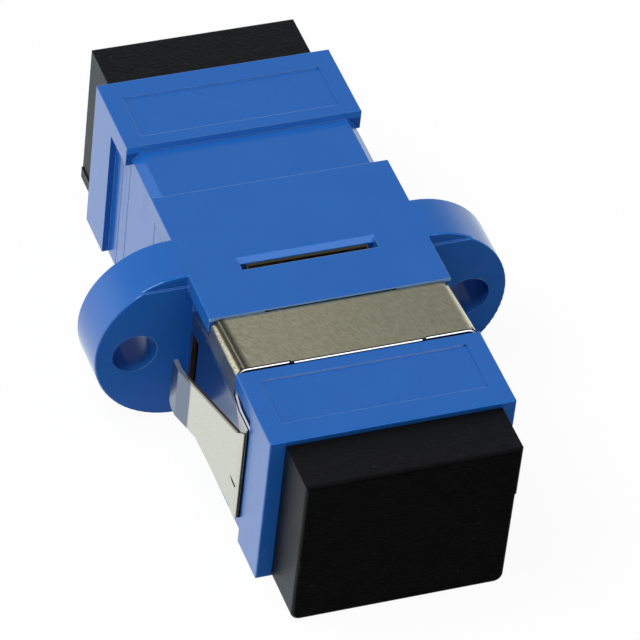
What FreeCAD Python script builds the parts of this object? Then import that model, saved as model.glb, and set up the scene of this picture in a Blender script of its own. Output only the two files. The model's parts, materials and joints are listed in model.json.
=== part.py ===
# SC fibre adapter: flanged one-piece housing, folded spring clip, two latch
# holders, split alignment sleeve and two dust caps.  Millimetres.
#
# Frame: the optical axis lies along Y and the clip side faces -Y.  The origin is
# the centre of the flange's front face, which seats on the panel.  X runs
# through both screw ears and Z is up, towards the clip's band.
import FreeCAD, Part

import math
import os

import Sketcher

V = FreeCAD.Vector

DIMENSIONS = [
    # name, millimetres, what it is
    ("overrun", 0.5, "how far a cutting outline runs past the surface it opens"),
    ("mid_plane", 1.5, "distance from the seating face to the housing's middle"),
    ("body_length", 28.1, "housing along the optical axis"),
    ("body_width", 13.0, "housing across collars and block"),
    ("body_height", 9.3, "housing top to bottom"),
    ("collar_length", 5.22, "raised collar at each end"),
    ("end_plate", 2.78, "part of a collar that is full width all the way down"),
    ("block_front", 3.18, "seating face to the front of the raised block"),
    ("block_rear", 6.26, "seating face to the rear of that block"),
    ("lip_height", 0.95, "overhanging top lip of the front collar and the block"),
    ("rear_lip_height", 1.2, "overhanging top lip of the rear collar"),
    ("side_width", 12.3, "across the recessed side walls"),
    ("neck_top", 4.22, "height of the neck above the axis"),
    ("neck_bevel", 0.45, "bevel along the neck's top edges"),
    ("bore_width", 9.1, "socket opening across"),
    ("bore_height", 7.5, "socket opening top to bottom"),
    ("mouth_bevel", 0.25, "lead-in around each socket mouth"),
    ("edge_break", 0.08, "softened moulding edge"),
    ("flange_thick", 3.0, "flange"),
    ("ear_centre", 6.58, "centre of each ear's rounding"),
    ("screw_spacing", 18.2, "between the two screw holes"),
    ("screw_bore", 2.4, "screw hole diameter"),
    ("ear_step", 0.15, "depth of the flat relief above each ear face"),
    ("ear_flat", 4.0, "height of that relief above the axis"),
    ("inset_depth", 0.1, "shallow panel in each collar's top"),
    ("inset_width", 10.95, "that panel across"),
    ("inset_length", 3.15, "that panel along the axis"),
    ("inset_margin", 1.32, "end face to that panel"),
    ("key_width", 2.6, "keyway across"),
    ("key_length", 6.6, "keyway from the end face"),
    ("ridge_height", 0.2, "snap ridge that holds the latch holders"),
    ("ridge_length", 0.6, "ramp of that ridge"),
    ("ridge_width", 4.0, "that ridge across"),
    ("ridge_gap", 0.02, "ridge to the latch holder's plate"),
    ("ridge_land", 0.2, "end of the ridge's flat land, from that plate"),
    ("ridge_root", 0.05, "foot of the ridge inside the socket wall"),
    ("sheet", 0.25, "clip sheet thickness"),
    ("clip_gap", 0.03, "clip to housing wall"),
    ("clip_overlap", 0.2, "how far two strips of the clip run into each other"),
    ("clip_cut", 4.0, "depth of the cuts that trim a wing and its arm"),
    ("clip_corner", 0.52, "outer bend at the band's corners"),
    ("clip_slope", 0.07, "rise of the band towards the front, per millimetre"),
    ("band_rear", 3.21, "seating face to the band's rear edge"),
    ("band_width", 3.96, "band along the axis"),
    ("band_lip", 0.08, "middle of the band's front edge stands this far forward"),
    ("band_lip_half", 3.6, "half width of that middle"),
    ("band_top", 4.52, "top of the band at its rear edge"),
    ("wing_rear", 0.65, "seating face to the wing's rear edge"),
    ("wing_half", 3.05, "half height of the wing"),
    ("wing_top", 2.87, "wing's upper edge at its rear end"),
    ("wing_rise", 0.23, "rise of that edge towards the band, per millimetre"),
    ("wing_front", 9.35, "seating face to the start of the hairpin"),
    ("fold_top", 2.7, "top of the hairpin and of the wing's front end"),
    ("fold_rear", 7.9, "seating face to where that top starts to rise"),
    ("hairpin_radius", 0.1, "inside radius of the hairpin"),
    ("slit_front", 1.9, "pierced slit, front end"),
    ("slit_rear", 1.04, "pierced slit, rear end"),
    ("slit_half", 1.75, "pierced slit, half height"),
    ("relief_depth", 0.9, "relief in the side wall behind the slit"),
    ("relief_margin", 0.1, "that relief beyond the slit on every side"),
    ("arm_angle", 15.5, "flare of the left spring arm, degrees"),
    ("arm_angle_shut", 5.0, "flare of the right spring arm, pressed in, degrees"),
    ("arm_length", 5.45, "spring arm from the hairpin to its tip bend"),
    ("arm_tip", 0.85, "tip of the spring arm, bent back parallel to the axis"),
    ("arm_top", 2.43, "top edge of the spring arm"),
    ("arm_root", 2.55, "lower edge of the arm at the hairpin, below the axis"),
    ("arm_tail", 0.6, "lower edge of the arm at its tail, below the axis"),
    ("arm_slant", 6.0, "seating face to the end of the slanted lower edge"),
    ("arm_blend", 0.2, "half the slope from the hairpin's edges to the arm's"),
    ("corner_start", 0.6, "arm's cut corner, its start before the tip's end"),
    ("corner_end", 0.15, "arm's cut corner, its end before the tip's end"),
    ("corner_rise", 0.35, "arm's cut corner, rise"),
    ("nick_rear", 8.97, "seating face to the thin end of the nick beside the hairpin"),
    ("nick_front", 9.53, "seating face to the nick's wide end"),
    ("nick_top", 0.51, "thin end of the nick below the axis"),
    ("nick_bottom", 1.09, "wide end of the nick below the axis"),
    ("nick_width", 0.15, "nick at its wide end"),
    ("tongue_width", 6.6, "locking tongue across"),
    ("tongue_bend", 0.1, "start of the tongue's upturned end, behind the seating face"),
    ("tongue_tip", 0.42, "upturned end along the axis"),
    ("tongue_rise", 0.14, "upturned end's rise"),
    ("tongue_root", 0.4, "root of the tongue under the band's rear edge"),
    ("tongue_lean", 0.08, "lean of the upturned end's cut face"),
    ("tunnel_width", 7.1, "tunnel for the tongue across"),
    ("tunnel_gap", 0.04, "tongue to tunnel wall"),
    ("window_width", 7.4, "window over the tongue's end across"),
    ("window_front", 0.08, "window's front edge before the seating face"),
    ("window_rear", 0.63, "window's rear wall behind the seating face"),
    ("window_bevel", 0.27, "bevel on that rear wall"),
    ("plate_thick", 1.0, "middle plate of a latch holder"),
    ("plate_gap", 0.05, "latch holder to socket wall"),
    ("tube_outer", 4.7, "sleeve tube outside diameter"),
    ("tube_inner", 3.3, "sleeve tube bore"),
    ("tube_length", 6.35, "middle plane to the tube's mouth"),
    ("tube_mouth", 2.9, "diameter of the tube's mouth"),
    ("mouth_depth", 0.5, "thickness of the tube's mouth"),
    ("latch_inner", 3.35, "axis to the latch arm's inner face"),
    ("latch_thick", 0.6, "latch arm thickness"),
    ("latch_half", 1.3, "half height of the latch arm"),
    ("latch_length", 9.3, "middle plane to the latch arm's tip"),
    ("latch_hook", 0.5, "hook reach towards the axis"),
    ("hook_flat", 0.45, "land of the hook"),
    ("hook_ramp", 0.9, "ramp of the hook"),
    ("hook_nose", 0.1, "end of that ramp outside the arm's inner face"),
    ("latch_root", 0.15, "fillet where arm and tube meet the plate"),
    ("sleeve_outer", 3.2, "alignment sleeve outside diameter"),
    ("sleeve_inner", 2.5, "alignment sleeve bore"),
    ("sleeve_length", 11.4, "alignment sleeve"),
    ("sleeve_slit", 0.5, "slit along the sleeve"),
    ("cap_width", 11.42, "dust cap block across"),
    ("cap_top", 4.38, "dust cap block above the axis"),
    ("cap_bottom", 4.82, "dust cap block below the axis"),
    ("cap_depth", 3.08, "dust cap block along the axis"),
    ("front_cap_shift", 0.02, "front cap's block off the middle of its plug"),
    ("rear_cap_shift", 0.12, "rear cap's block off the middle of its plug"),
    ("front_cap_gap", 0.04, "front cap's block to the housing's end face"),
    ("rear_cap_gap", 0.15, "rear cap's block to the housing's end face"),
    ("cap_corner", 0.5, "rounding of the block's lower corners"),
    ("cap_edge", 0.2, "rounding of the block's other edges"),
    ("cap_step", 0.07, "flash strip on one side of the block"),
    ("front_strip", 1.2, "lower end of the front cap's strip, above the axis"),
    ("rear_strip", 3.75, "upper end of the rear cap's strip, below the axis"),
    ("plug_width", 8.9, "dust cap plug across"),
    ("plug_height", 7.3, "dust cap plug top to bottom"),
    ("plug_length", 3.2, "dust cap plug into the socket"),
    ("plug_wall", 1.4, "wall of the plug's hollow"),
    ("plug_floor", 0.5, "solid behind the plug's hollow"),
]


class Dim:
    """A length that carries its number and its spreadsheet formula together."""

    def __init__(self, number, formula):
        self.number = float(number)
        self.formula = formula

    def __add__(self, other):
        other = fixed(other)
        return Dim(self.number + other.number, "(%s + %s)" % (self.formula, other.formula))

    def __sub__(self, other):
        other = fixed(other)
        return Dim(self.number - other.number, "(%s - %s)" % (self.formula, other.formula))

    def __mul__(self, other):
        other = fixed(other)
        return Dim(self.number * other.number, "(%s * %s)" % (self.formula, other.formula))

    def __truediv__(self, other):
        other = fixed(other)
        return Dim(self.number / other.number, "(%s / %s)" % (self.formula, other.formula))

    def __neg__(self):
        return Dim(-self.number, "(0 - %s)" % self.formula)

    def __radd__(self, other):
        return fixed(other) + self

    def __rsub__(self, other):
        return fixed(other) - self

    def __rmul__(self, other):
        return fixed(other) * self


def fixed(value):
    """A plain number as a Dim."""
    if isinstance(value, Dim):
        return value
    return Dim(value, "%g" % value)


def sine(angle):
    return Dim(math.sin(math.radians(angle.number)), "sin(%s)" % angle.formula)


def cosine(angle):
    return Dim(math.cos(math.radians(angle.number)), "cos(%s)" % angle.formula)


class Book:
    """The dimensions, each one a Dim, read as attributes."""

    def __init__(self, doc):
        sheet = doc.addObject("Spreadsheet::Sheet", "Dims")
        for row, (name, number, meaning) in enumerate(DIMENSIONS, start=1):
            sheet.set("A%d" % row, name)
            sheet.set("B%d" % row, "%g" % number)
            sheet.set("C%d" % row, meaning)
            sheet.setAlias("B%d" % row, name)
            setattr(self, name, Dim(number, "Dims.%s" % name))
        doc.recompute()


# ---------------------------------------------------------------- sketches

def plane_of(body, role):
    return [f for f in body.Origin.OriginFeatures if f.Role == role][0]


def sketch_on(body, name, role, height):
    """A sketch parallel to one of the body's origin planes.

    XZ_Plane faces -Y, so its height counts towards -Y.
    """
    sketch = body.newObject("Sketcher::SketchObject", name)
    sketch.AttachmentSupport = [(plane_of(body, role), "")]
    sketch.MapMode = "FlatFace"
    sketch.setExpression("AttachmentOffset.Base.z", fixed(height).formula)
    return sketch


def drive(sketch, name, *constraint):
    """Adds a constraint whose last item is a Dim and binds it to its formula."""
    target = fixed(constraint[-1])
    index = sketch.addConstraint(Sketcher.Constraint(*constraint[:-1], target.number))
    sketch.renameConstraint(index, name)
    sketch.setExpression("Constraints.%s" % name, target.formula)


def pin_point(sketch, name, edge, end, x, y):
    drive(sketch, name + "_x", "DistanceX", -1, 1, edge, end, x)
    drive(sketch, name + "_y", "DistanceY", -1, 1, edge, end, y)


def outline(sketch, corners, tag="p"):
    """A closed outline of straight sides; a corner may also carry an arc.

    Each corner is (x, y) or (x, y, centre_x, centre_y, sense): then the side that
    leaves it is an arc about that centre, and sense is +1 for anticlockwise.
    """
    first = sketch.GeometryCount
    ends = []
    for i, corner in enumerate(corners):
        x0, y0 = [fixed(c).number for c in corner[:2]]
        x1, y1 = [fixed(c).number for c in corners[(i + 1) % len(corners)][:2]]
        if len(corner) == 2:
            sketch.addGeometry(Part.LineSegment(V(x0, y0, 0), V(x1, y1, 0)), False)
            ends.append((1, 2))
            continue
        cx, cy = [fixed(c).number for c in corner[2:4]]
        circle = Part.Circle(V(cx, cy, 0), V(0, 0, 1), math.hypot(x0 - cx, y0 - cy))
        a0 = math.atan2(y0 - cy, x0 - cx)
        a1 = math.atan2(y1 - cy, x1 - cx)
        if corner[4] > 0:
            sketch.addGeometry(Part.ArcOfCircle(circle, a0, a1), False)
            ends.append((1, 2))
        else:
            sketch.addGeometry(Part.ArcOfCircle(circle, a1, a0), False)
            ends.append((2, 1))
    count = len(corners)
    for i, corner in enumerate(corners):
        follow = (i + 1) % count
        edge, start = first + i, ends[i][0]
        sketch.addConstraint(
            Sketcher.Constraint("Coincident", edge, ends[i][1], first + follow, ends[follow][0]))
        pin_point(sketch, "%s%d" % (tag, i), edge, start, corner[0], corner[1])
        if len(corner) > 2:
            after = corners[follow]
            spread = fixed(after[0]) - corner[0], fixed(after[1]) - corner[1]
            flat = abs(spread[0].number) > abs(spread[1].number)
            kind, centre = ("DistanceY", corner[3]) if flat else ("DistanceX", corner[2])
            drive(sketch, "%s%d_c" % (tag, i), kind, -1, 1, edge, 3, centre)


def rectangle(sketch, x0, x1, y0, y1, tag="p"):
    outline(sketch, [(x0, y0), (x1, y0), (x1, y1), (x0, y1)], tag)


def circle(sketch, name, x, y, diameter):
    x, y, diameter = fixed(x), fixed(y), fixed(diameter)
    at = V(x.number, y.number, 0)
    edge = sketch.addGeometry(Part.Circle(at, V(0, 0, 1), diameter.number / 2), False)
    drive(sketch, name + "_d", "Diameter", edge, diameter)
    pin_point(sketch, name, edge, 3, x, y)


# ---------------------------------------------------------------- features

def new_body(doc, label):
    body = doc.addObject("PartDesign::Body", label)
    body.Label = label
    return body


def extrude(body, kind, sketch, length, middle=False, reverse=False):
    feature = body.newObject("PartDesign::" + kind, sketch.Name + "_" + kind.lower())
    feature.Profile = sketch
    feature.setExpression("Length", fixed(length).formula)
    if middle:
        feature.Midplane = True
    feature.Reversed = reverse
    sketch.Visibility = False
    return feature


def pad(body, sketch, length, **options):
    return extrude(body, "Pad", sketch, length, **options)


def pocket(body, sketch, length, **options):
    return extrude(body, "Pocket", sketch, length, **options)


def edge_names(shape, chosen):
    """Names of the edges whose middle point and direction satisfy chosen()."""
    names = []
    for i, edge in enumerate(shape.Edges, start=1):
        middle = edge.valueAt((edge.FirstParameter + edge.LastParameter) / 2)
        box = edge.BoundBox
        if chosen(middle, box, edge):
            names.append("Edge%d" % i)
    return names


def dress(doc, body, kind, name, size, chosen):
    """A fillet or chamfer on the chosen edges of the body as it stands."""
    doc.recompute()
    names = edge_names(body.Tip.Shape, chosen)
    if not names:
        raise RuntimeError("no edges for " + name)
    base = body.Tip
    feature = body.newObject("PartDesign::" + kind, name)
    feature.Base = (base, names)
    feature.setExpression("Radius" if kind == "Fillet" else "Size", fixed(size).formula)
    doc.recompute()
    return feature


def cross_section(body, name, y):
    """A sketch across the optical axis; its pad grows towards -Y from y."""
    return sketch_on(body, name, "XZ_Plane", -fixed(y))


def side_view(body, name, x=0):
    """A sketch of Y and Z at x; its pad grows towards +X."""
    return sketch_on(body, name, "YZ_Plane", x)


def plan_view(body, name, z=0):
    """A sketch of X and Y at z; its pad grows upwards."""
    return sketch_on(body, name, "XY_Plane", z)


# ---------------------------------------------------------------- housing

def housing(doc, d):
    body = new_body(doc, "housing")
    front = d.mid_plane - d.body_length / 2
    rear = d.mid_plane + d.body_length / 2
    half = d.body_width / 2
    top = d.body_height / 2
    side = d.side_width / 2

    core = cross_section(body, "core", rear)
    shoulder = side - d.neck_bevel
    outline(core, [
        (-side, -top),
        (side, -top),
        (side, d.neck_top - d.neck_bevel),
        (shoulder, d.neck_top),
        (-shoulder, d.neck_top),
        (-side, d.neck_top - d.neck_bevel),
    ])
    pad(body, core, d.body_length)

    raised = [
        ("block_lip", d.block_rear, d.block_front + d.block_rear, d.lip_height),
        ("front_lip", front + d.collar_length, d.collar_length, d.lip_height),
        ("rear_lip", rear, d.collar_length, d.rear_lip_height),
    ]
    for name, y, length, height in raised:
        lip = cross_section(body, name, y)
        rectangle(lip, -half, half, top - height, top)
        pad(body, lip, length)
    for name, y in (("front_plate", front + d.end_plate), ("rear_plate", rear)):
        plate = cross_section(body, name, y)
        rectangle(plate, -half, half, -top, top)
        pad(body, plate, d.end_plate)

    housing_flange(body, d, half, top)
    housing_sockets(body, d, front, rear, top)
    housing_reliefs(body, d)
    housing_top(body, d, front, rear, top)
    housing_tunnel(body, d, top)
    housing_edges(doc, body, d, front, rear)
    return body


def housing_flange(body, d, half, top):
    """Both ears with their screw holes and the flat relief above each face."""
    flange = cross_section(body, "flange", d.flange_thick)
    outline(flange, [
        (-d.ear_centre, -top),
        (d.ear_centre, -top, d.ear_centre, 0, 1),
        (d.ear_centre, top),
        (-d.ear_centre, top, -d.ear_centre, 0, 1),
    ])
    pad(body, flange, d.flange_thick)
    holes = cross_section(body, "screw_holes", 0)
    circle(holes, "left", -d.screw_spacing / 2, 0, d.screw_bore)
    circle(holes, "right", d.screw_spacing / 2, 0, d.screw_bore)
    pocket(body, holes, d.flange_thick)
    relief = cross_section(body, "ear_relief", 0)
    reach = d.ear_centre + top
    rectangle(relief, -reach, -half, d.ear_flat, top + d.overrun, "left")
    rectangle(relief, half, reach, d.ear_flat, top + d.overrun, "right")
    pocket(body, relief, d.ear_step)


def housing_sockets(body, d, front, rear, top):
    """The socket right through, its keyways and the holders' snap ridges."""
    across = d.bore_width / 2
    high = d.bore_height / 2
    bore = cross_section(body, "socket", front)
    rectangle(bore, -across, across, -high, high)
    pocket(body, bore, d.body_length)
    for name, y, reverse in (("front_key", front, False), ("rear_key", rear, True)):
        key = cross_section(body, name, y)
        rectangle(key, -d.key_width / 2, d.key_width / 2, -top - d.overrun, d.overrun - high)
        pocket(body, key, d.key_length, reverse=reverse)
    ridges = side_view(body, "snap_ridges")
    faces = (("front", d.mid_plane - d.plate_thick, -1), ("rear", d.mid_plane + d.plate_thick, 1))
    for tag, y, way in faces:
        for end, up in (("_up", 1), ("_down", -1)):
            outline(ridges, [
                (y + way * d.ridge_gap, up * (high + d.ridge_root)),
                (y + way * d.ridge_gap, up * (high - d.ridge_height)),
                (y + way * d.ridge_land, up * (high - d.ridge_height)),
                (y + way * d.ridge_length, up * (high + d.ridge_root)),
            ], tag + end)
    pad(body, ridges, d.ridge_width, middle=True)


def housing_reliefs(body, d):
    """A relief in each side wall behind the slit of the clip's wing."""
    wall = d.side_width / 2
    near = -d.slit_front - d.relief_margin
    far = d.relief_margin - d.slit_rear
    high = d.slit_half + d.relief_margin
    for tag, x, reverse in (("left", -wall, True), ("right", wall, False)):
        relief = side_view(body, tag + "_relief", x)
        rectangle(relief, near, far, -high, high)
        pocket(body, relief, d.relief_depth, reverse=reverse)


def housing_top(body, d, front, rear, top):
    """A shallow panel sunk into the top of each collar."""
    inset = plan_view(body, "top_panels", top)
    wide = d.inset_width / 2
    near = front + d.inset_margin
    far = rear - d.inset_margin
    rectangle(inset, -wide, wide, near, near + d.inset_length, "front")
    rectangle(inset, -wide, wide, far - d.inset_length, far, "rear")
    pocket(body, inset, d.inset_depth)


def tongue_top(d, y):
    """Height of the tongue's upper face at y, sloping down to the rear."""
    return d.band_top - d.clip_slope * (y + d.band_rear)


def housing_tunnel(body, d, top):
    """The sloping tunnel under the block's top and the window over its end."""
    mouth = -d.band_rear - d.clip_overlap
    end = d.window_rear
    roof = tongue_top(d, mouth) + d.tunnel_gap
    roof_end = tongue_top(d, end) + d.tunnel_gap
    deep = d.sheet + 2 * d.tunnel_gap
    tunnel = side_view(body, "tongue_tunnel")
    outline(tunnel, [
        (mouth, roof - deep),
        (end, roof_end - deep),
        (end, roof_end),
        (mouth, roof),
    ])
    pocket(body, tunnel, d.tunnel_width, middle=True)
    window = side_view(body, "tongue_window")
    outline(window, [
        (-d.window_front, roof_end - deep),
        (end, roof_end - deep),
        (end, top - d.window_bevel),
        (end + d.window_bevel + d.overrun, top + d.overrun),
        (-d.window_front, top + d.overrun),
    ])
    pocket(body, window, d.window_width, middle=True)


def housing_edges(doc, body, d, front, rear):
    """Lead-in around both mouths and a softened edge on what the hand meets."""
    across = d.bore_width.number / 2 + 0.01
    high = d.bore_height.number / 2 + 0.01
    ends = (front.number, rear.number)

    def in_plane(box, y):
        return box.YLength < 1e-4 and abs(box.YMin - y) < 1e-4

    def mouth(middle, box, edge):
        inside = abs(middle.x) < across and abs(middle.z) < high
        return inside and any(in_plane(box, y) for y in ends)

    dress(doc, body, "Chamfer", "mouth_lead_in", d.mouth_bevel, mouth)

    wide = d.body_width.number / 2
    tall = d.body_height.number / 2

    def outer(middle, box, edge):
        rim = abs(abs(middle.x) - wide) < 1e-4 or abs(abs(middle.z) - tall) < 1e-4
        along = box.YLength > 1 and box.XLength < 1e-4 and box.ZLength < 1e-4
        ridge = along and abs(abs(middle.x) - wide) < 1e-4 and abs(middle.z - tall) < 1e-4
        return ridge or (rim and any(in_plane(box, y) for y in ends))

    dress(doc, body, "Fillet", "body_edges", d.edge_break, outer)

    def ear_rim(middle, box, edge):
        return abs(middle.x) > wide + 0.1 and box.YLength < 1e-4 and abs(
            math.hypot(abs(middle.x) - d.ear_centre.number, middle.z) - tall) < 1e-3

    dress(doc, body, "Fillet", "ear_edges", d.edge_break, ear_rim)


# ---------------------------------------------------------------- clip

def clip(doc, d):
    """One folded sheet: band, two wings, hairpins, spring arms and a tongue."""
    body = new_body(doc, "spring_clip")
    inner = d.side_width / 2 + d.clip_gap
    outer = inner + d.sheet
    band_front = -d.band_rear - d.band_width
    clip_band(body, d, inner, outer)
    fold = outer + d.hairpin_radius
    sides = plan_view(body, "wings_and_arms")
    clip_side(sides, d, -1, d.arm_angle, "left")
    clip_side(sides, d, 1, d.arm_angle_shut, "right")
    pad(body, sides, 2 * d.wing_half, middle=True)
    clip_shoulders(body, d, "left", -outer)
    clip_shoulders(body, d, "right", inner)
    clip_front(body, d, "left", d.clip_overlap - inner, False, band_front)
    clip_front(body, d, "right", inner - d.clip_overlap, True, band_front)
    clip_trim(body, d, "left", -fold, False)
    clip_trim(body, d, "right", fold, True)
    slit = side_view(body, "wing_slits")
    rectangle(slit, -d.slit_front, -d.slit_rear, -d.slit_half, d.slit_half)
    pocket(body, slit, 2 * (outer + d.overrun), middle=True)
    clip_nick(body, d, -fold)
    clip_tongue(body, d)
    return body


def clip_shoulders(body, d, tag, x):
    """The wing's upper edge behind the band, slanted up to it."""
    level = -d.wing_rear - (d.wing_half - d.wing_top) / d.wing_rise
    top = d.wing_top + (d.band_rear - d.wing_rear) * d.wing_rise
    shoulder = side_view(body, tag + "_shoulder", x)
    outline(shoulder, [
        (level, d.wing_half - d.clip_overlap),
        (level, d.wing_half),
        (-d.band_rear, top),
        (-d.band_rear - d.clip_overlap, top),
        (-d.band_rear - d.clip_overlap, d.wing_half - d.clip_overlap),
    ])
    pad(body, shoulder, d.sheet)
    rear = d.clip_overlap - d.wing_rear
    corner = side_view(body, tag + "_corner", x)
    outline(corner, [
        (level, d.wing_half),
        (level, d.wing_half + d.clip_overlap),
        (rear, d.wing_half + d.clip_overlap),
        (rear, d.wing_top - d.clip_overlap * d.wing_rise),
    ])
    pocket(body, corner, d.sheet, reverse=True)


def clip_front(body, d, tag, x, reverse, band_front):
    """Lowers the top of a wing's front end and of its hairpin."""
    past = -d.wing_front - d.overrun
    over = side_view(body, tag + "_front_over", x)
    outline(over, [
        (past, d.fold_top),
        (-d.fold_rear, d.fold_top),
        (band_front, d.wing_half),
        (band_front, d.wing_half + d.overrun),
        (past, d.wing_half + d.overrun),
    ])
    pocket(body, over, d.clip_cut, reverse=reverse)


def clip_nick(body, d, x):
    """A sliver torn out of the left arm beside the hairpin."""
    middle_y = (d.nick_rear + d.nick_front) / -2
    middle_z = (d.nick_top + d.nick_bottom) / -2
    bow = d.nick_width / 3
    nick = side_view(body, "arm_nick", x)
    outline(nick, [
        (-d.nick_rear, -d.nick_top),
        (middle_y - bow, middle_z + bow),
        (-d.nick_front, d.nick_width - d.nick_bottom),
        (bow - d.nick_front, -d.nick_bottom),
        (middle_y + bow, middle_z - bow),
    ])
    pocket(body, nick, d.clip_cut)


def clip_band(body, d, inner, outer):
    """The band and its two bends, rising a little towards the front."""
    band = cross_section(body, "band", -d.band_rear)
    top = d.band_top
    bend = top - d.clip_corner
    flat = outer - d.clip_corner
    outline(band, [
        (-outer, 0),
        (-outer, bend, -flat, bend, -1),
        (-flat, top),
        (flat, top, flat, bend, -1),
        (outer, bend),
        (outer, 0),
        (inner, 0),
        (inner, bend, flat, bend, 1),
        (flat, top - d.sheet),
        (-flat, top - d.sheet, -flat, bend, 1),
        (-inner, bend),
        (-inner, 0),
    ])
    strip = pad(body, band, d.band_width)
    strip.UseCustomVector = True
    strip.Direction = V(0, -1, d.clip_slope.number)
    strip.setExpression("Direction.z", d.clip_slope.formula)
    strip.AlongSketchNormal = True
    front = -d.band_rear - d.band_width
    edge = top + d.band_width * d.clip_slope
    lip = cross_section(body, "band_lip", front)
    rectangle(lip, -d.band_lip_half, d.band_lip_half, edge - d.sheet, edge)
    pad(body, lip, d.band_lip)


def clip_side(sketch, d, side, angle, tag):
    """Wing, hairpin and flared arm of one side, seen from above."""
    inner = d.side_width / 2 + d.clip_gap
    outer = inner + d.sheet
    fold = outer + d.hairpin_radius
    turn = d.hairpin_radius + d.sheet
    front = -d.wing_front
    out, back = sine(angle), cosine(angle)
    mitre = d.sheet * (1 - back) / out
    arm_x, arm_y = fold + turn * back, front - turn * out
    tip_x, tip_y = arm_x + d.arm_length * out, arm_y + d.arm_length * back
    under_x, under_y = fold + d.hairpin_radius * back, front - d.hairpin_radius * out
    short = d.arm_length - mitre
    outline(sketch, [
        (side * inner, -d.wing_rear),
        (side * inner, front, side * fold, front, side),
        (side * arm_x, arm_y),
        (side * tip_x, tip_y),
        (side * tip_x, tip_y + d.arm_tip),
        (side * (tip_x - d.sheet), tip_y + d.arm_tip),
        (side * (under_x + short * out), under_y + short * back),
        (side * under_x, under_y, side * fold, front, -side),
        (side * outer, front),
        (side * outer, -d.wing_rear),
    ], tag)


def clip_trim(body, d, tag, x, reverse):
    """Cuts the spring arm's outline outside the hairpin's middle."""
    past = -d.wing_front - d.overrun
    tail = -d.wing_front + d.arm_length + d.arm_tip
    over = side_view(body, tag + "_arm_over", x)
    outline(over, [
        (past, d.fold_top),
        (-d.wing_front - d.arm_blend, d.fold_top),
        (-d.wing_front + d.arm_blend, d.arm_top),
        (0, d.arm_top),
        (0, d.wing_half + d.overrun),
        (past, d.wing_half + d.overrun),
    ])
    pocket(body, over, d.clip_cut, reverse=reverse)
    under = side_view(body, tag + "_arm_under", x)
    outline(under, [
        (past, -d.wing_half),
        (-d.wing_front - d.arm_blend, -d.wing_half),
        (-d.wing_front + d.arm_blend, -d.arm_root),
        (-d.arm_slant, -d.arm_tail),
        (tail - d.corner_start, -d.arm_tail),
        (tail - d.corner_end, d.corner_rise - d.arm_tail),
        (0, d.corner_rise - d.arm_tail),
        (0, -d.wing_half - d.overrun),
        (past, -d.wing_half - d.overrun),
    ])
    pocket(body, under, d.clip_cut, reverse=reverse)


def clip_tongue(body, d):
    """The locking tongue, its end turned up into the housing's window."""
    start = -d.band_rear - d.tongue_root
    bend = d.tongue_bend
    tip = bend + d.tongue_tip
    high = tongue_top(d, bend) + d.tongue_rise
    tongue = side_view(body, "tongue")
    outline(tongue, [
        (start, tongue_top(d, start)),
        (start, tongue_top(d, start) - d.sheet),
        (bend + d.tongue_lean / 2, tongue_top(d, bend) - d.sheet),
        (tip + d.tongue_lean, high - d.sheet),
        (tip, high),
        (bend, tongue_top(d, bend)),
    ])
    pad(body, tongue, d.tongue_width, middle=True)


# ---------------------------------------------------------------- latch holders

def latch_holder(doc, d, label, turned):
    """Plate, sleeve tube and two hooked arms; local y = 0 is the middle plane."""
    body = new_body(doc, label)
    wide = d.bore_width / 2 - d.plate_gap
    tall = d.bore_height / 2 - d.plate_gap
    plate = cross_section(body, label + "_plate", 0)
    rectangle(plate, -wide, wide, -tall, tall)
    pad(body, plate, d.plate_thick)
    tube = cross_section(body, label + "_tube", 0)
    circle(tube, "wall", 0, 0, d.tube_outer)
    pad(body, tube, d.tube_length)
    arms = plan_view(body, label + "_arms")
    hook_back = d.hook_ramp + d.hook_flat - d.latch_length
    for tag, side in (("left", -1), ("right", 1)):
        outline(arms, [
            (side * d.latch_inner, -d.plate_thick / 2),
            (side * d.latch_inner, hook_back),
            (side * (d.latch_inner - d.latch_hook), hook_back),
            (side * (d.latch_inner - d.latch_hook), d.hook_ramp - d.latch_length),
            (side * (d.latch_inner + d.hook_nose), -d.latch_length),
            (side * (d.latch_inner + d.latch_thick), -d.latch_length),
            (side * (d.latch_inner + d.latch_thick), -d.plate_thick / 2),
        ], tag)
    pad(body, arms, 2 * d.latch_half, middle=True)
    seat = cross_section(body, label + "_sleeve_seat", 0)
    circle(seat, "seat", 0, 0, d.tube_inner)
    pocket(body, seat, d.tube_length - d.mouth_depth, reverse=True)
    mouth = cross_section(body, label + "_mouth", 0)
    circle(mouth, "mouth", 0, 0, d.tube_mouth)
    pocket(body, mouth, d.tube_length, reverse=True)

    def root(middle, box, edge):
        return box.YLength < 1e-4 and abs(box.YMin + d.plate_thick.number) < 1e-4 and max(
            abs(middle.x), abs(middle.z)) < d.latch_inner.number + d.latch_thick.number + 0.01

    dress(doc, body, "Fillet", label + "_roots", d.latch_root, root)
    place(body, d.mid_plane, turned)
    return body


def place(body, y, turned):
    """Sets a body at y, turned about Z where it faces the rear."""
    about_z = FreeCAD.Rotation(V(0, 0, 1), 180 if turned else 0)
    body.Placement = FreeCAD.Placement(V(0, fixed(y).number, 0), about_z)
    body.setExpression("Placement.Base.y", fixed(y).formula)


# ---------------------------------------------------------------- sleeve

def sleeve(doc, d):
    """The split ceramic sleeve that lines both ferrules up."""
    body = new_body(doc, "alignment_sleeve")
    ring = cross_section(body, "ring", d.sleeve_length / 2)
    circle(ring, "outside", 0, 0, d.sleeve_outer)
    circle(ring, "inside", 0, 0, d.sleeve_inner)
    pad(body, ring, d.sleeve_length)
    slit = cross_section(body, "slit", d.sleeve_length / 2)
    rectangle(slit, -d.sleeve_slit / 2, d.sleeve_slit / 2, 0, d.sleeve_outer)
    pocket(body, slit, d.sleeve_length, reverse=True)
    place(body, d.mid_plane, False)
    return body


# ---------------------------------------------------------------- dust caps

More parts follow.
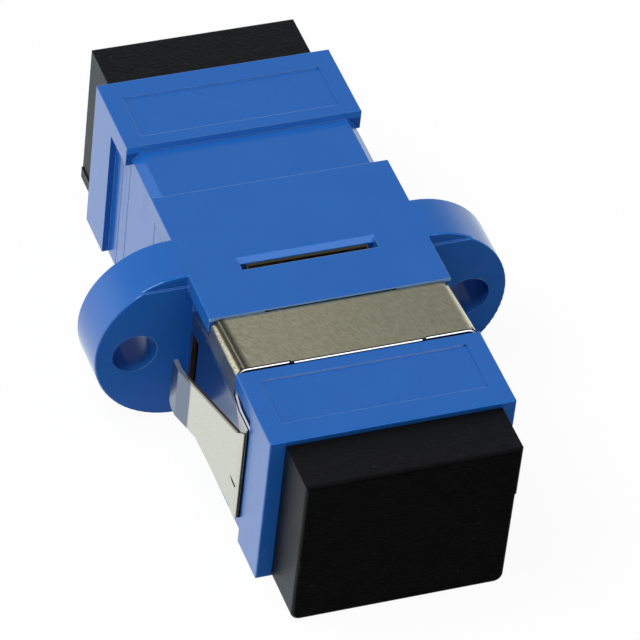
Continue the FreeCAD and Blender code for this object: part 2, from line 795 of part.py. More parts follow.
def dust_cap(doc, d, label, y, turned, gap, shift, strip_low, strip_high):
    """A rubber block with a hollow plug; local y = 0 is the housing's end face."""
    body = new_body(doc, label)
    half = d.cap_width / 2
    block = cross_section(body, label + "_block", -gap)
    rectangle(block, shift - half, shift + half - d.cap_step, -d.cap_bottom, d.cap_top)
    pad(body, block, d.cap_depth)
    strip = cross_section(body, label + "_strip", -gap)
    rectangle(strip, shift, shift + half, strip_low, strip_high)
    pad(body, strip, d.cap_depth)
    plug = cross_section(body, label + "_plug", d.plug_length)
    wide, tall = d.plug_width / 2, d.plug_height / 2
    rectangle(plug, -wide, wide, -tall, tall)
    pad(body, plug, d.plug_length + gap + d.overrun)
    hollow = cross_section(body, label + "_hollow", d.plug_length)
    wall = d.plug_wall
    rectangle(hollow, wall - wide, wide - wall, wall - tall, tall - wall)
    pocket(body, hollow, d.plug_length - d.plug_floor, reverse=True)
    face = -(gap + d.cap_depth).number
    low = -d.cap_bottom.number

    def lower_corner(middle, box, edge):
        along = box.YLength > 1 and box.XLength < 1e-4 and box.ZLength < 1e-4
        return along and middle.y < 0 and abs(middle.z - low) < 1e-4

    dress(doc, body, "Fillet", label + "_lower_corners", d.cap_corner, lower_corner)

    def face_outline(middle, box, edge):
        return box.YLength < 1e-4 and abs(middle.y - face) < 1e-4

    dress(doc, body, "Fillet", label + "_face_edges", d.cap_edge, face_outline)
    place(body, y, turned)
    return body


# ---------------------------------------------------------------- assembly

def check(doc):
    for item in doc.Objects:
        if "Invalid" in item.State or "Error" in item.State:
            raise RuntimeError("%s: %s" % (item.Label, item.State))


def write(bodies):
    os.makedirs("parts", exist_ok=True)
    for body in bodies:
        shape = body.Shape
        if shape.isNull() or not shape.isValid():
            raise RuntimeError(body.Label + " has no valid shape")
        shape.exportStep("parts/%s.step" % body.Label)
        box = shape.BoundBox
        print("%-18s volume %9.3f  x %.2f..%.2f  y %.2f..%.2f  z %.2f..%.2f  solids %d" % (
            body.Label, shape.Volume, box.XMin, box.XMax, box.YMin, box.YMax,
            box.ZMin, box.ZMax, len(shape.Solids)))


def main():
    doc = FreeCAD.newDocument("sc_fibre_adapter")
    d = Book(doc)
    front = d.mid_plane - d.body_length / 2
    rear = d.mid_plane + d.body_length / 2
    bodies = [
        housing(doc, d),
        clip(doc, d),
        latch_holder(doc, d, "front_latch_holder", False),
        latch_holder(doc, d, "rear_latch_holder", True),
        sleeve(doc, d),
        dust_cap(doc, d, "front_dust_cap", front, False,
                 d.front_cap_gap, d.front_cap_shift, d.front_strip, d.cap_top),
        dust_cap(doc, d, "rear_dust_cap", rear, True,
                 d.rear_cap_gap, d.rear_cap_shift, -d.cap_bottom, -d.rear_strip),
    ]
    doc.recompute()
    check(doc)
    write(bodies)


main()
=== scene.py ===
# %% [markdown]
# # An SC fibre adapter, dressed for its picture
#
# The adapter couples two optical plugs.  Its working shape comes from the CAD
# model: a blue moulded housing with two screw ears, a folded steel clip, two
# latch holders, a split ceramic sleeve and two black rubber dust caps.  This
# lesson loads that model, gives every piece its finish and lights it on a pale
# table.
#
# The model comes in first, as a fixed frame.  Nothing in it is moved, and its
# size is measured here.

# %% Load the model
import json
import math

import bmesh
import bpy
from mathutils import Matrix, Vector


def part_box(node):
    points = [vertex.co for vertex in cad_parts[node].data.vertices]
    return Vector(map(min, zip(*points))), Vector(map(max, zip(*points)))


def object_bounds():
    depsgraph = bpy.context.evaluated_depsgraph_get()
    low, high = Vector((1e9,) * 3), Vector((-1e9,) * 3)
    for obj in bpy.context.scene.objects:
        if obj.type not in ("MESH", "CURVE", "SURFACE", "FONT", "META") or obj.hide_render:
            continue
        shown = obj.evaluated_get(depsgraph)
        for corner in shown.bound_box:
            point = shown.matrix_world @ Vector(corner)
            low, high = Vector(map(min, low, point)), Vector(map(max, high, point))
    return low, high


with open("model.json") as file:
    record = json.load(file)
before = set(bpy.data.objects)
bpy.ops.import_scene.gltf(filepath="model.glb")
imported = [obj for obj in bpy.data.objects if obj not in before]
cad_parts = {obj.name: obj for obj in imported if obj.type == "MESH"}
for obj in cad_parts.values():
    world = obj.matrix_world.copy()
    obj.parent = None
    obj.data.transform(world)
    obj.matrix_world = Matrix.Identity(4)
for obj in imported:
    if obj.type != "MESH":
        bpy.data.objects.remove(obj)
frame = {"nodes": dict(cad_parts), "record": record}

MM = 0.001
cad_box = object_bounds()
print("nodes:", list(frame["nodes"]))
print("cad box:", cad_box)

# %% [markdown]
# ## A bench for mixing finishes
#
# A finish is a small tree of shader nodes.  Wiring one by hand takes many lines,
# so a few small classes do it.  `Wire` holds one output, lets Python's own
# operators add the Math nodes, and can be asked where its value lies above,
# below or within some limits.  `Bench` owns one tree and has a single method that
# makes any node from its type, its settings and what goes into its sockets.

# %% A wire that does arithmetic
class Wire:
    """One output socket; arithmetic on it adds Math nodes."""

    def __init__(self, bench, socket):
        self.bench = bench
        self.socket = socket

    def maths(self, operation, *values):
        return self.bench.node("ShaderNodeMath", {"operation": operation}, dict(enumerate(values)))

    def __add__(self, other):
        return self.maths("ADD", self, other)

    def __radd__(self, other):
        return self.maths("ADD", other, self)

    def __sub__(self, other):
        return self.maths("SUBTRACT", self, other)

    def __rsub__(self, other):
        return self.maths("SUBTRACT", other, self)

    def __mul__(self, other):
        return self.maths("MULTIPLY", self, other)

    def __rmul__(self, other):
        return self.maths("MULTIPLY", other, self)

    def __abs__(self):
        return self.maths("ABSOLUTE", self)

    def larger(self, other):
        return self.maths("MAXIMUM", self, other)

    def root(self):
        return self.maths("SQRT", self)

    def above(self, edge, soft):
        """0 below the edge and 1 above it, smooth across soft."""
        return self.bench.node("ShaderNodeMapRange", {"interpolation_type": "SMOOTHSTEP"}, {
            "Value": self, "From Min": edge - soft / 2, "From Max": edge + soft / 2})

    def below(self, edge, soft):
        return 1 - self.above(edge, soft)

    def within(self, low, high, soft):
        """1 between low and high."""
        return self.above(low, soft) * self.below(high, soft)


# %% A bench that makes and wires nodes
class Bench:
    """One node tree and the nodes this lesson uses most."""

    def __init__(self, tree):
        self.tree = tree

    def node(self, kind, settings=None, sockets=None, output=0):
        made = self.tree.nodes.new(kind)
        for name, value in (settings or {}).items():
            setattr(made, name, value)
        for name, value in (sockets or {}).items():
            self.plug(made.inputs[name], value)
        return Wire(self, made.outputs[output])

    def plug(self, socket, value):
        if isinstance(value, Wire):
            self.tree.links.new(value.socket, socket)
        else:
            socket.default_value = value

    def vector(self, operation, sockets, output=0):
        return self.node("ShaderNodeVectorMath", {"operation": operation}, sockets, output)

    def parts(self, vector):
        """X, Y and Z of a vector."""
        split = self.node("ShaderNodeSeparateXYZ", {}, {0: vector}).socket.node
        return [Wire(self, output) for output in split.outputs]

    def noise(self, at, scale, detail=2.0, rough=0.5):
        return self.node("ShaderNodeTexNoise", {}, {
            "Vector": at, "Scale": scale, "Detail": detail, "Roughness": rough})

    def stretch(self, at, amounts):
        return self.vector("MULTIPLY", {0: at, 1: amounts})

    def turn(self, at, degrees):
        """Coordinates turned about Z."""
        return self.node("ShaderNodeVectorRotate", {"rotation_type": "Z_AXIS"}, {
            "Vector": at, "Angle": math.radians(degrees)})

    def mix(self, amount, first, second):
        return self.node("ShaderNodeMix", {"data_type": "RGBA"}, {
            0: amount, 6: first, 7: second}, output=2)

    def paint(self, colour, *coats):
        """A colour under coats, each a pair of how much and which colour."""
        for amount, coat in coats:
            colour = self.mix(amount, colour, coat)
        return colour

    def rays(self):
        """1 on the camera's rays, and 1 on those that a mirror or a glass sends on."""
        path = self.node("ShaderNodeLightPath").socket.node
        camera, glossy, through = [
            Wire(self, path.outputs[name])
            for name in ("Is Camera Ray", "Is Glossy Ray", "Is Transmission Ray")]
        return camera, glossy + through


# %% [markdown]
# `Finish` is a bench for one material.  It measures in millimetres, in the
# piece's own coordinates.  `Spot` then names what a mask asks most often: where
# a point of the surface is and which way it faces.

# %% A bench for one material
class Finish(Bench):
    """One material, its Principled shader and the piece's own coordinates."""

    def __init__(self, name, **uniform):
        self.material = bpy.data.materials.new(name)
        self.material.use_nodes = True
        super().__init__(self.material.node_tree)
        self.shader = self.tree.nodes["Principled BSDF"]
        for socket, value in uniform.items():
            self.shader.inputs[socket.replace("_", " ")].default_value = value

    def into(self, socket, value):
        self.plug(self.shader.inputs[socket], value)

    def place(self):
        """Object coordinates in millimetres."""
        at = self.node("ShaderNodeTexCoord", output=3)
        return self.vector("SCALE", {0: at, "Scale": 1 / MM})

    def facing(self):
        """The surface's own direction."""
        return self.node("ShaderNodeTexCoord", output=1)

    def bump(self, height, strength, depth, over=None):
        """A relief of that depth in millimetres."""
        sockets = {"Strength": strength, "Distance": depth * MM, "Height": height}
        if over:
            sockets["Normal"] = over
        return self.node("ShaderNodeBump", {}, sockets)

    def rounded(self, radius):
        """The surface's direction as if every edge were rounded."""
        return self.node("ShaderNodeBevel", {"samples": 6}, {"Radius": radius * MM})

    def edges(self, radius, softness):
        """1 along the edges, 0 on the flats."""
        flat = self.node("ShaderNodeNewGeometry", output=3)
        alike = self.vector("DOT_PRODUCT", {0: self.rounded(radius), 1: flat}, output=1)
        return alike.below(1 - softness, softness)


class Spot:
    """A point of the surface: its place, its distance to the side, its direction."""

    def __init__(self, finish):
        self.at = finish.place()
        self.x, self.y, self.z = finish.parts(self.at)
        self.out = abs(self.x)
        self.nx, self.ny, self.nz = finish.parts(finish.facing())


def rgb(red, green, blue):
    """A colour as it is seen on screen, turned to linear light."""
    return tuple(((c / 255 + 0.055) / 1.055) ** 2.4 if c > 10 else c / 255 / 12.92
                 for c in (red, green, blue)) + (1.0,)


print("bench ready")

# %% [markdown]
# ## The blue housing
#
# The housing is a satin blue thermoplastic with a very fine grain.  Its places
# come first, in millimetres.  They follow the CAD model: X runs through the ears,
# Y along the plugs and Z up.

# %% Places and tones of the housing
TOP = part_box("housing")[1][2] / MM
BORE = next(mount for mount in frame["record"]["mounts"] if mount["name"] == "ferrule_bore")
MIDDLE = BORE["pos_m"][1] / MM      # halfway between the two end faces

SIDE_WALLS = (5.9, 6.3)             # the recessed side walls lie between these widths
LINES_END = 3.75                    # the lines end under the overhanging top lips
INSERT_LINES = (11.5, 10.4, 6.3, -1.1)
LINE_HALF = 0.06

PANELS_REACH = 5.6                  # half width that holds the collars' shallow panels
PANELS_SPAN = (9.0, 13.0)           # the panels, as a distance from the middle
PANELS_SHADE = 5.3                  # beyond this, their right wall is in shade
BLOCK_FRONT = (-3.3, -3.1)          # the front edge of the raised block

RELIEF_WIDTHS = (5.1, 6.13)         # the pocket in the side wall behind the clip's slit
RELIEF_SPAN = (-2.1, -0.8)
RELIEF_HALF = 2.0

REAR_COLLAR = 9.0                   # the rear collar starts behind this
NECK_TOP = 4.2                      # only the collars and the block rise above this

DEEP_BLUE, CLEAR_BLUE = rgb(11, 84, 169), rgb(18, 92, 179)
GRAIN_BLUE, LINE_BLUE = rgb(58, 124, 196), rgb(8, 50, 110)
# Painted highlights for the steps, edges, bevels and shelf; painted shade for the slit's pocket.
STEP_HIGHLIGHT_BLUE, EDGE_HIGHLIGHT_BLUE = rgb(140, 178, 232), rgb(140, 186, 240)
BEVEL_HIGHLIGHT_BLUE, SHELF_HIGHLIGHT_BLUE = rgb(24, 122, 222), rgb(48, 130, 222)
POCKET_SHADE_BLACK = rgb(6, 8, 12)
print("housing top at", round(TOP, 3), "mm, middle at", round(MIDDLE, 3), "mm")

# %% [markdown]
# Each mask below marks one feature.  The recessed side walls keep the upright
# lines where mould inserts met, and faint drag marks from leaving the mould.
# Small steps catch the light and get a paler painted highlight, and the pocket
# behind the clip's slit is painted black as painted shade, because no light gets
# into it.  Faces that lean forwards and up, the rear collar's front face and the
# edges get painted highlights too.

# %% Masks of the housing
def side_walls(spot):
    return spot.out.within(*SIDE_WALLS, 0.1)


def insert_lines(spot):
    """Upright lines that mould inserts leave on the recessed side walls."""
    lines = sum(spot.y.within(at - LINE_HALF, at + LINE_HALF, 0.08) for at in INSERT_LINES)
    return side_walls(spot) * spot.z.below(LINES_END, 0.1) * lines


def drag_marks(finish, spot):
    """Long upright streaks on the recessed side walls."""
    streaks = finish.noise(finish.stretch(spot.at, (1.0, 6.0, 0.15)), 1.0, 3.0, 0.6)
    return streaks.above(0.58, 0.2) * side_walls(spot)


def highlighted_steps(spot):
    """Painted highlight on low upright steps on the top: the walls of the panels and the block's
    front.
    """
    upright = abs(spot.nz).below(0.5, 0.1) * spot.z.above(TOP - 0.2, 0.06)
    panels = spot.out.below(PANELS_REACH, 0.05) * spot.x.below(PANELS_SHADE, 0.1)
    panels = panels * abs(spot.y - MIDDLE).within(*PANELS_SPAN, 0.1)
    return upright * (panels + spot.y.within(*BLOCK_FRONT, 0.04))


def shaded_slit_pocket(spot):
    """Painted shade: the pocket in the side wall behind the clip's slit, painted black."""
    return (spot.out.within(*RELIEF_WIDTHS, 0.02) * spot.y.within(*RELIEF_SPAN, 0.05)
            * abs(spot.z).below(RELIEF_HALF, 0.05))


def highlighted_bevels(spot):
    """A painted highlight on whatever leans forwards and up, such as the bevel of the tongue's
    window.
    """
    return spot.ny.within(-0.9, -0.5, 0.1) * spot.nz.within(0.5, 0.9, 0.1)


def highlighted_shelf(spot):
    """A painted highlight on the rear collar's front face, above the neck."""
    return spot.ny.below(-0.9, 0.1) * spot.y.above(REAR_COLLAR, 1.0) * spot.z.above(NECK_TOP, 0.05)


def edge_highlights(finish, spot):
    """Uneven painted highlights along the edges, but not on the panels' right wall, which is in
    shade.
    """
    uneven = 0.25 + 0.8 * finish.noise(spot.at, 1.7, 4.0, 0.7)
    shaded = spot.x.within(PANELS_SHADE, PANELS_REACH + 0.05, 0.04) * spot.z.above(TOP - 0.15, 0.05)
    return finish.edges(0.1, 0.25) * uneven * (1 - shaded)


# %% Blue moulded plastic
def moulded_blue():
    finish = Finish("blue_thermoplastic", IOR=1.56)
    spot = Spot(finish)
    cloud = finish.noise(spot.at, 0.35, 3.0, 0.55)
    grain = finish.noise(spot.at, 14.0, 3.0, 0.6)
    lines = insert_lines(spot)
    # The coats: painted highlights on the steps, bevels, shelf and edges; painted shade in the
    # slit's pocket.
    finish.into("Base Color", finish.paint(
        finish.mix(cloud, DEEP_BLUE, CLEAR_BLUE),
        (grain * 0.35, GRAIN_BLUE),
        (lines * 0.5, LINE_BLUE),
        (highlighted_steps(spot) * 0.8, STEP_HIGHLIGHT_BLUE),
        (shaded_slit_pocket(spot), POCKET_SHADE_BLACK),
        (highlighted_bevels(spot) * 0.9, BEVEL_HIGHLIGHT_BLUE),
        (highlighted_shelf(spot) * 0.9, SHELF_HIGHLIGHT_BLUE),
        (edge_highlights(finish, spot), EDGE_HIGHLIGHT_BLUE)))
    finish.into("Roughness", 0.14 + 0.08 * cloud + 0.25 * lines + 0.1 * drag_marks(finish, spot))
    finish.into("Normal", finish.bump(grain - lines, 0.25, 0.01, finish.rounded(0.06)))
    return finish.material


HOUSING_BLUE = moulded_blue()
print("made", HOUSING_BLUE.name)

# %% [markdown]
# ## Rolled steel for the clip
#
# The clip is punched and folded from thin rolled strip: a band over the top, a
# wing down each side, and a spring arm that a tight fold turns back beside each
# wing.  A tongue runs from the band's rear edge under the housing's top.  The
# first places are those of the CAD model, and give the bend between band and
# wing.

# %% Places and tones of the clip
CLIP_HALF = 6.43                    # outer face of a wing, from the middle
CORNER = 0.52                       # outer radius of the bend between band and wing
BAND_TOP = 4.52                     # the band's top at its rear edge
BAND_REAR = -3.21
BAND_RISE = 0.07                    # the band rises towards the front, per millimetre
BAND_SPAN = (-7.4, BAND_REAR + 0.01)

ON_BAND = 4.2                       # above this is the band or its tongue
WING_WIDTHS = (6.1, 6.6)            # a wing and the root of its fold
BURR_DEPTHS = (0.07, 0.17)          # the burr, under the sheet's outer face
LIP_ENDS = (3.42, 3.64)             # ends of the lip in the middle of the band's edges

FLARE = math.radians(15.5)          # the left spring arm's flare
ARM_MIDDLE = 9.03                   # middle of that arm's thickness, measured square to it
ARM_TIP = 8.02                      # the left arm's tip lies beyond this
FOLD_LEAN = 0.667                   # the flat of a fold starts on a line that leans back
FOLD_START = -9.45
FOLD_TOP = 2.9
SLIT_REAR = (-1.2, -0.9)            # the rear end of the slit
TONGUE_SHOWS = -1.0                 # the tongue shows in the window behind this
TONGUE_TIP, TONGUE_SIDE = 0.4, 3.2  # the tongue's rims begin here

BAND_TONES = rgb(196, 185, 151), rgb(251, 240, 213)
ARM_TONES = rgb(183, 180, 169), rgb(211, 207, 194)
# The wings' bluish grey is a painted reflection of the blue housing.
WING_REFLECTION_TONES = rgb(146, 156, 172), rgb(172, 178, 190)
# Punched edges: painted shade, dark, with a painted highlight along the burr.
CUT_SHADE_AND_HIGHLIGHT = rgb(20, 18, 22), rgb(246, 246, 250)
SLIT_TONES = rgb(30, 24, 18), rgb(92, 78, 60)
# The tongue in the window is painted dark: painted shade.
TONGUE_SHADE_TONES = rgb(16, 14, 12), rgb(150, 136, 108)
# The bend's dark streaks are a painted reflection; the band darkens towards the right.
BAND_RIGHT_TONE, BEND_REFLECTION_GREY, EDGE_BROWN = rgb(150, 146, 124), rgb(84, 80, 72), rgb(70, 58, 50)
# A painted highlight on the folds and a painted reflection of the ear on the arm's tip.
FOLD_HIGHLIGHT_IVORY, TIP_REFLECTION_GREY, PIT_GREY = rgb(244, 243, 236), rgb(108, 118, 134), rgb(112, 108, 98)
# A painted highlight on the tongue's rims.
TONGUE_RIM_HIGHLIGHT = rgb(236, 224, 192)

# %% [markdown]
# Rolling leaves fine slanted streaks, and the bend at the left gets narrow dark
# streaks of painted reflection.  The punched edges get painted shade, dark, with a
# painted highlight along the burr in the middle of the sheet's thickness, and the
# arms get dull brown upper and lower edges.

# %% Masks of the sheet's faces and bends
def rolling_streaks(finish, spot):
    """Fine slanted streaks from the rolling mill."""
    slanted = finish.stretch(finish.turn(spot.at, -25), (5.5, 2.4, 2.4))
    return finish.noise(slanted, 1.0, 4.0, 0.7).above(0.5, 0.5)


def bend_reflections(spot, speck):
    """Painted reflections: dark streaks along the left bend of the band."""
    out = spot.out + 0.1 * speck - 0.05
    inner = out.above(5.76, 0.34) * out.below(6.02, 0.06)
    outer = out.within(6.09, 6.26, 0.08)
    along = spot.y.within(*BAND_SPAN, 0.05) * spot.z.above(3.9, 0.1) * spot.x.below(0, 0.1)
    return along * (inner + outer) * (0.6 + 0.6 * speck)


def beside(spot):
    return spot.out.within(*WING_WIDTHS, 0.04)


def outside(spot):
    """The spring arms, which stand off the wings."""
    return spot.out.above(WING_WIDTHS[1], 0.04)


def pits(spot, speck):
    """Small pits on the outside of the bend."""
    bend = spot.out.within(6.12, 6.5, 0.06) * spot.z.within(3.3, 4.6, 0.6)
    return bend * speck.above(0.5, 0.16)


def fold_highlight(spot):
    """A painted highlight on the flat of each fold, in front of a line that leans back as it rises.
    """
    ahead = (spot.y - FOLD_LEAN * spot.z).below(FOLD_START, 0.1)
    return beside(spot) * ahead * spot.z.below(FOLD_TOP, 0.2)


# %% Masks of the punched edges and the tongue
def burr_highlight(spot):
    """A painted highlight along the burr inside a punched edge, torn at the ends of the lip."""
    side = (spot.out - (CLIP_HALF - CORNER)).larger(0)
    rise = (spot.z + BAND_RISE * (spot.y - BAND_REAR) - (BAND_TOP - CORNER)).larger(0)
    depth = CORNER - (side * side + rise * rise).root()
    return depth.within(*BURR_DEPTHS, 0.04) * (1 - 0.8 * spot.out.within(*LIP_ENDS, 0.06))


def arm_edges(spot):
    """The upper and lower edges of the arms."""
    return abs(spot.nz).above(0.9, 0.1) * abs(spot.z).below(3.8, 0.2) * outside(spot)


def inner_half(spot):
    """The half of the sheet that is nearer the housing, on the left arm."""
    across = math.cos(FLARE) * spot.out - math.sin(FLARE) * spot.y
    return across.below(ARM_MIDDLE, 0.04)


def wing_cuts(spot):
    """The punched edges of the wings and of their folds."""
    return abs(spot.nx).below(0.6, 0.1) * beside(spot) * spot.y.below(-7.0, 0.1)


def band_cuts(spot):
    """The punched edges of the band and its tongue."""
    return abs(spot.ny).above(0.9, 0.1) * spot.z.above(3.0, 0.2)


def slit_end(spot):
    """The rear end of the slit, which faces forwards."""
    return spot.y.within(*SLIT_REAR, 0.04) * spot.ny.below(-0.9, 0.1) * spot.z.below(2.0, 0.1)


def tongue_rim_highlight(spot):
    """Painted highlights on the rims at the tongue's tip and sides."""
    return spot.y.above(TONGUE_TIP, 0.04).larger(spot.out.above(TONGUE_SIDE, 0.04))


# %% [markdown]
# The finish then lays these over the plain faces, one coat after another.  On the
# band the burr leans upwards, so it mirrors the lamp in front.

# %% Rolled spring steel
def plain_faces(finish, spot, texture, speck):
    """Band, arms and wings without their marks; the wings are painted a bluish grey, a painted
    reflection of the blue housing, and the band is painted darker towards the right.
    """
    band = finish.paint(finish.mix(texture, *BAND_TONES), (spot.x.above(0, 14) * 0.4, BAND_RIGHT_TONE))
    sides = finish.mix(outside(spot), finish.mix(speck, *WING_REFLECTION_TONES), finish.mix(speck, *ARM_TONES))
    return finish.mix(spot.z.above(ON_BAND, 0.2), sides, band)


def leaning_up(finish, amount):
    """The surface's direction, leaned upwards by an amount."""
    flat = finish.node("ShaderNodeNewGeometry", output=1)
    lean = finish.node("ShaderNodeCombineXYZ", {}, {2: amount})
    return finish.vector("NORMALIZE", {0: finish.vector("ADD", {0: flat, 1: lean})})


def rolled_steel():
    finish = Finish("rolled_steel")
    spot = Spot(finish)
    speck = finish.noise(spot.at, 9.0, 4.0, 0.7)
    texture = rolling_streaks(finish, spot) * 0.6 + speck * 0.4
    edge, wing_cut, band_cut = arm_edges(spot), wing_cuts(spot), band_cuts(spot)
    cut = wing_cut.larger(band_cut)
    bright = burr_highlight(spot)
    fold = fold_highlight(spot) * (1 - cut)
    # The left arm's tip is painted blue-grey: a painted reflection of the ear.
    tip = spot.out.above(ARM_TIP, 0.04)
    end = slit_end(spot)
    # The tongue under the window gets painted shade.
    tongue = spot.y.above(TONGUE_SHOWS, 0.2) * spot.z.above(ON_BAND, 0.2)
    # The coats: painted reflections on the bend and the tip, painted shade and highlight on the
    # cuts, a painted highlight on the folds and the tongue's rims, painted shade on the tongue.
    finish.into("Base Color", finish.paint(
        plain_faces(finish, spot, texture, speck),
        (bend_reflections(spot, speck), BEND_REFLECTION_GREY),
        (edge * inner_half(spot), EDGE_BROWN),
        (cut, finish.mix(bright, *CUT_SHADE_AND_HIGHLIGHT)),
        (fold, FOLD_HIGHLIGHT_IVORY),
        (tip, TIP_REFLECTION_GREY),
        (pits(spot, speck) * 0.7, PIT_GREY),
        (end, finish.mix(speck, *SLIT_TONES)),
        (tongue, finish.mix(speck.above(0.52, 0.16), *TONGUE_SHADE_TONES)),
        (tongue * tongue_rim_highlight(spot), TONGUE_RIM_HIGHLIGHT)))
    finish.into("Metallic", 1 - 0.8 * wing_cut - 0.4 * edge - 0.8 * fold - 0.7 * end)
    near_bend = spot.z.within(2.9, 4.3, 1.0) * beside(spot)
    dull = 0.08 + 0.1 * speck + 0.3 * edge + near_bend * (0.1 + 0.3 * speck) + 0.06 * tip
    finish.into("Roughness", dull)
    finish.into("Normal", finish.bump(texture, 0.3, 0.006, leaning_up(finish, band_cut * bright)))
    return finish.material


CLIP_STEEL = rolled_steel()
print("made", CLIP_STEEL.name)

# %% [markdown]
# ## Inner pieces: pale plastic and ceramic
#
# With the caps pulled off, the latch holders and the end of the ceramic sleeve
# show inside the sockets.  The holders are a natural, slightly glossy nylon, and
# the sleeve is polished zirconia.

# %% Natural nylon and zirconia
NYLON_TONES = rgb(214, 216, 208), rgb(232, 233, 226)
CERAMIC_TONES = rgb(238, 236, 226), rgb(246, 245, 238)


def natural_nylon():
    finish = Finish("natural_nylon", IOR=1.53)
    at = finish.place()
    cloud = finish.noise(at, 0.8, 2.0)
    finish.into("Base Color", finish.mix(cloud, *NYLON_TONES))
    finish.into("Roughness", 0.38 + 0.1 * cloud)
    finish.into("Normal", finish.bump(finish.noise(at, 12.0), 0.2, 0.01))
    return finish.material


def zirconia():
    finish = Finish("zirconia", IOR=2.1)
    cloud = finish.noise(finish.place(), 1.5, 2.0)
    finish.into("Base Color", finish.mix(cloud, *CERAMIC_TONES))
    finish.into("Roughness", 0.12 + 0.06 * cloud)
    return finish.material


HOLDER_PLASTIC = natural_nylon()
SLEEVE_CERAMIC = zirconia()
print("made", HOLDER_PLASTIC.name, "and", SLEEVE_CERAMIC.name)

# %% [markdown]
# ## Black rubber for the dust caps
#
# Soft black rubber has a fine uneven grain.  It picks up lint and dust, which
# show as a sparse scatter of pale specks, and its upper edges are painted a paler grey.

# %% Black rubber
PALE_EDGES_ABOVE = 3.9                  # only the edges near the cap's top are painted a paler grey
RUBBER_TONES = rgb(2, 2, 3), rgb(5, 4, 6)
GRAIN_BLACK, UPPER_EDGE_GREY, DUST_GREY = rgb(15, 14, 17), rgb(84, 84, 88), rgb(120, 120, 118)


def black_rubber():
    finish = Finish("black_rubber", IOR=1.24)
    at = finish.place()
    height = finish.parts(at)[2]
    cloud = finish.noise(at, 0.5, 3.0)
    grain = finish.noise(at, 6.0, 4.0, 0.7)
    relief = grain + finish.noise(at, 1.1, 5.0, 0.75)
    dust = finish.noise(at, 4.5, 1.0).above(0.79, 0.04)
    # Paler grey along the upper edges, uneven with the grain.
    pale_edges = finish.edges(0.07, 0.3) * height.above(PALE_EDGES_ABOVE, 0.2) * grain.above(0.45, 0.2)
    finish.into("Base Color", finish.paint(
        finish.mix(cloud, *RUBBER_TONES),
        (relief.above(1.0, 0.25) * 0.35, GRAIN_BLACK),
        (pale_edges * 0.5, UPPER_EDGE_GREY),
        (dust * 0.2, DUST_GREY)))
    finish.into("Roughness", 0.33 + 0.14 * cloud)
    finish.into("Normal", finish.bump(relief, 0.7, 0.05))
    return finish.material


CAP_RUBBER = black_rubber()
print("made", CAP_RUBBER.name)

# %% [markdown]
# ## Give each piece its finish
#
# A CAD piece keeps its mesh.  Only the material in its slots changes.

# %% Assign the finishes
FINISH_OF = {
    "housing": (HOUSING_BLUE, "housing_blue"),
    "spring_clip": (CLIP_STEEL, "clip_steel"),
    "front_latch_holder": (HOLDER_PLASTIC, "holder_plastic"),
    "rear_latch_holder": (HOLDER_PLASTIC, "holder_plastic"),
    "alignment_sleeve": (SLEEVE_CERAMIC, "sleeve_ceramic"),
    "front_dust_cap": (CAP_RUBBER, "cap_rubber"),
    "rear_dust_cap": (CAP_RUBBER, "cap_rubber"),
}
for node, (material, slot) in FINISH_OF.items():
    piece = bpy.data.objects[node]
    piece.data.materials.clear()
    piece.data.materials.append(material)
    print(node, "->", material.name, len(piece.data.polygons), "faces")

# %% [markdown]
# ## The table
#
# The adapter lies on a white table that keeps a soft shadow.  The camera sees it
# almost as bright as the white room.  Reflections look through it to the lower
# half of the room, except in two short strips under the ears, where they meet a
# cool grey glow: a painted shadow of the table there.

# %% The white table
STRIP_WIDTHS = (5.8, 9.8)           # the grey strips, from the middle
STRIP_FRONT, STRIP_REAR = -2.2, 4.0
SHADOW_STRIP_GREY = rgb(128, 144, 176)
TABLE_HALF = 3.0                    # metres


def white_table():
    finish = Finish("white_table", Roughness=0.9, Base_Color=(0.8, 0.8, 0.8, 1.0))
    spot = Spot(finish)
    strips = (spot.out.within(*STRIP_WIDTHS, 0.5) * spot.y.above(STRIP_FRONT, 4.0)
              * spot.y.below(STRIP_REAR, 1.0))
    camera, mirror = finish.rays()
    clear = finish.node("ShaderNodeBsdfTransparent")
    # The strips glow a cool grey to reflections: painted shadow of the table beside the adapter.
    grey = finish.node("ShaderNodeEmission", {}, {"Color": SHADOW_STRIP_GREY})
    mirrored = finish.node("ShaderNodeMixShader", {}, {0: strips, 1: clear, 2: grey})
    plain = Wire(finish, finish.shader.outputs[0])
    white = finish.node("ShaderNodeEmission")
    seen = finish.node("ShaderNodeMixShader", {}, {0: camera * 0.95, 1: plain, 2: white})
    table = finish.node("ShaderNodeMixShader", {}, {0: mirror, 1: seen, 2: mirrored})
    finish.plug(finish.tree.nodes["Material Output"].inputs["Surface"], table)
    return finish.material


def lay_table(height, reach):
    work = bmesh.new()
    bmesh.ops.create_grid(work, x_segments=1, y_segments=1, size=reach)
    bmesh.ops.translate(work, verts=work.verts, vec=(0, 0, height))
    mesh = bpy.data.meshes.new("table")
    work.to_mesh(mesh)
    work.free()
    table = bpy.data.objects.new("table", mesh)
    bpy.context.scene.collection.objects.link(table)
    table.data.materials.append(white_table())
    return table


lowest = cad_box[0][2]
lay_table(lowest, TABLE_HALF)
print("table at", round(lowest / MM, 3), "mm")

# %% [markdown]
# ## The light
#
# A large lamp high on the left gives the shape, and a small weak one in front
# makes the burrs and the window's bevel shine, over the painted highlights in
# their finishes.  The room does the rest.  The camera sees it white.  Reflections
# see a studio: low down dark in front and bright behind, higher up grey, and
# darker overhead.  All other light from it is an even grey, stronger towards the
# floor.

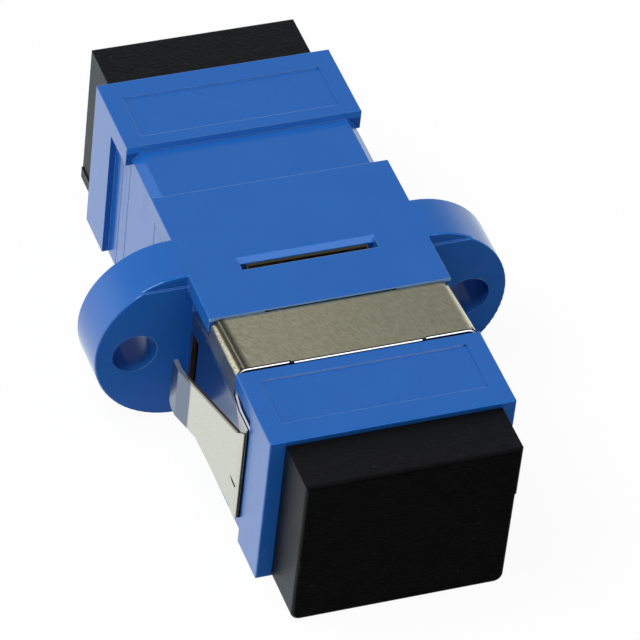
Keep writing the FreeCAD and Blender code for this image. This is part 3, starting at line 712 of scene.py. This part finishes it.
# %% Soft lamps
def soft_lamp(name, azimuth, height, distance, size, power):
    """A square lamp that looks at the adapter; angles in degrees."""
    a, h = math.radians(azimuth), math.radians(height)
    away = Vector((math.sin(a) * math.cos(h), -math.cos(a) * math.cos(h), math.sin(h)))
    data = bpy.data.lights.new(name, "AREA")
    data.shape = "SQUARE"
    data.size = size
    data.energy = power
    lamp = bpy.data.objects.new(name, data)
    lamp.location = away * distance
    lamp.rotation_euler = away.to_track_quat("Z", "Y").to_euler()
    bpy.context.scene.collection.objects.link(lamp)
    return lamp


soft_lamp("key_lamp", azimuth=-95, height=62, distance=0.5, size=0.3, power=2.0)
soft_lamp("front_lamp", azimuth=25, height=41, distance=0.5, size=0.12, power=0.06)

# %% A studio room
ROOM_FRONT, ROOM_BACK = 0.04, 1.15  # how bright reflections see the lower room
ROOM_SKY, ROOM_ZENITH = 0.34, 0.04  # and the upper room
GREY_HIGH, GREY_LOW = 0.33, 0.66    # the even light, from above and from the floor
COOL_WHITE = (0.94, 1.0, 1.03, 1)


def studio_room():
    room = bpy.data.worlds.new("studio_room")
    room.use_nodes = True
    bench = Bench(room.node_tree)
    x, y, up = bench.parts(bench.node("ShaderNodeTexCoord", output=0))
    camera, mirror = bench.rays()
    low = up.below(0.3, 0.6)
    behind = (y - 0.6 * x).above(-0.3, 0.3)
    overhead = up.above(0.82, 0.3)
    floor = ROOM_FRONT + (ROOM_BACK - ROOM_FRONT) * behind
    sky = ROOM_SKY - (ROOM_SKY - ROOM_ZENITH) * overhead
    mirrored = low * floor + (1 - low) * sky
    even = GREY_HIGH + (GREY_LOW - GREY_HIGH) * up.below(0.3, 0.4)
    back = bench.tree.nodes["Background"]
    bench.plug(back.inputs["Color"], bench.mix(mirror, (1, 1, 1, 1), COOL_WHITE))
    bench.plug(back.inputs["Strength"], camera + mirror * mirrored + (1 - camera - mirror) * even)
    return room


bpy.context.scene.world = studio_room()
bpy.context.scene.view_settings.view_transform = "Standard"
print("room:", bpy.context.scene.world.name)

# %% [markdown]
# ## The camera
#
# It stands in front of the adapter on its left, looks down on it and is turned a
# little about its own line of sight.  The lens is long, so the adapter's sides
# stay nearly parallel.

# %% Set the camera
def set_camera(azimuth, elevation, roll, place, lens):
    """A camera at a place in millimetres; angles in degrees."""
    a, e = math.radians(azimuth), math.radians(elevation)
    back = Vector((math.sin(a) * math.cos(e), -math.cos(a) * math.cos(e), math.sin(e)))
    right = Vector((0, 0, 1)).cross(back).normalized()
    up = back.cross(right)
    upright = Matrix((right, up, back)).transposed()
    data = bpy.data.cameras.new("camera")
    data.lens = lens
    data.sensor_width = 36
    data.clip_start = 0.01
    data.clip_end = 20
    camera = bpy.data.objects.new("camera", data)
    camera.location = Vector(place) * MM
    turned = upright @ Matrix.Rotation(math.radians(roll), 3, "Z")
    camera.rotation_euler = turned.to_euler()
    bpy.context.scene.collection.objects.link(camera)
    bpy.context.scene.camera = camera
    return camera


CAMERA = set_camera(
    azimuth=-24.02, elevation=42.08, roll=6.79, place=(-81.19, -184.28, 182.29), lens=296.9)
print("camera at", [round(v, 4) for v in CAMERA.location], "m")
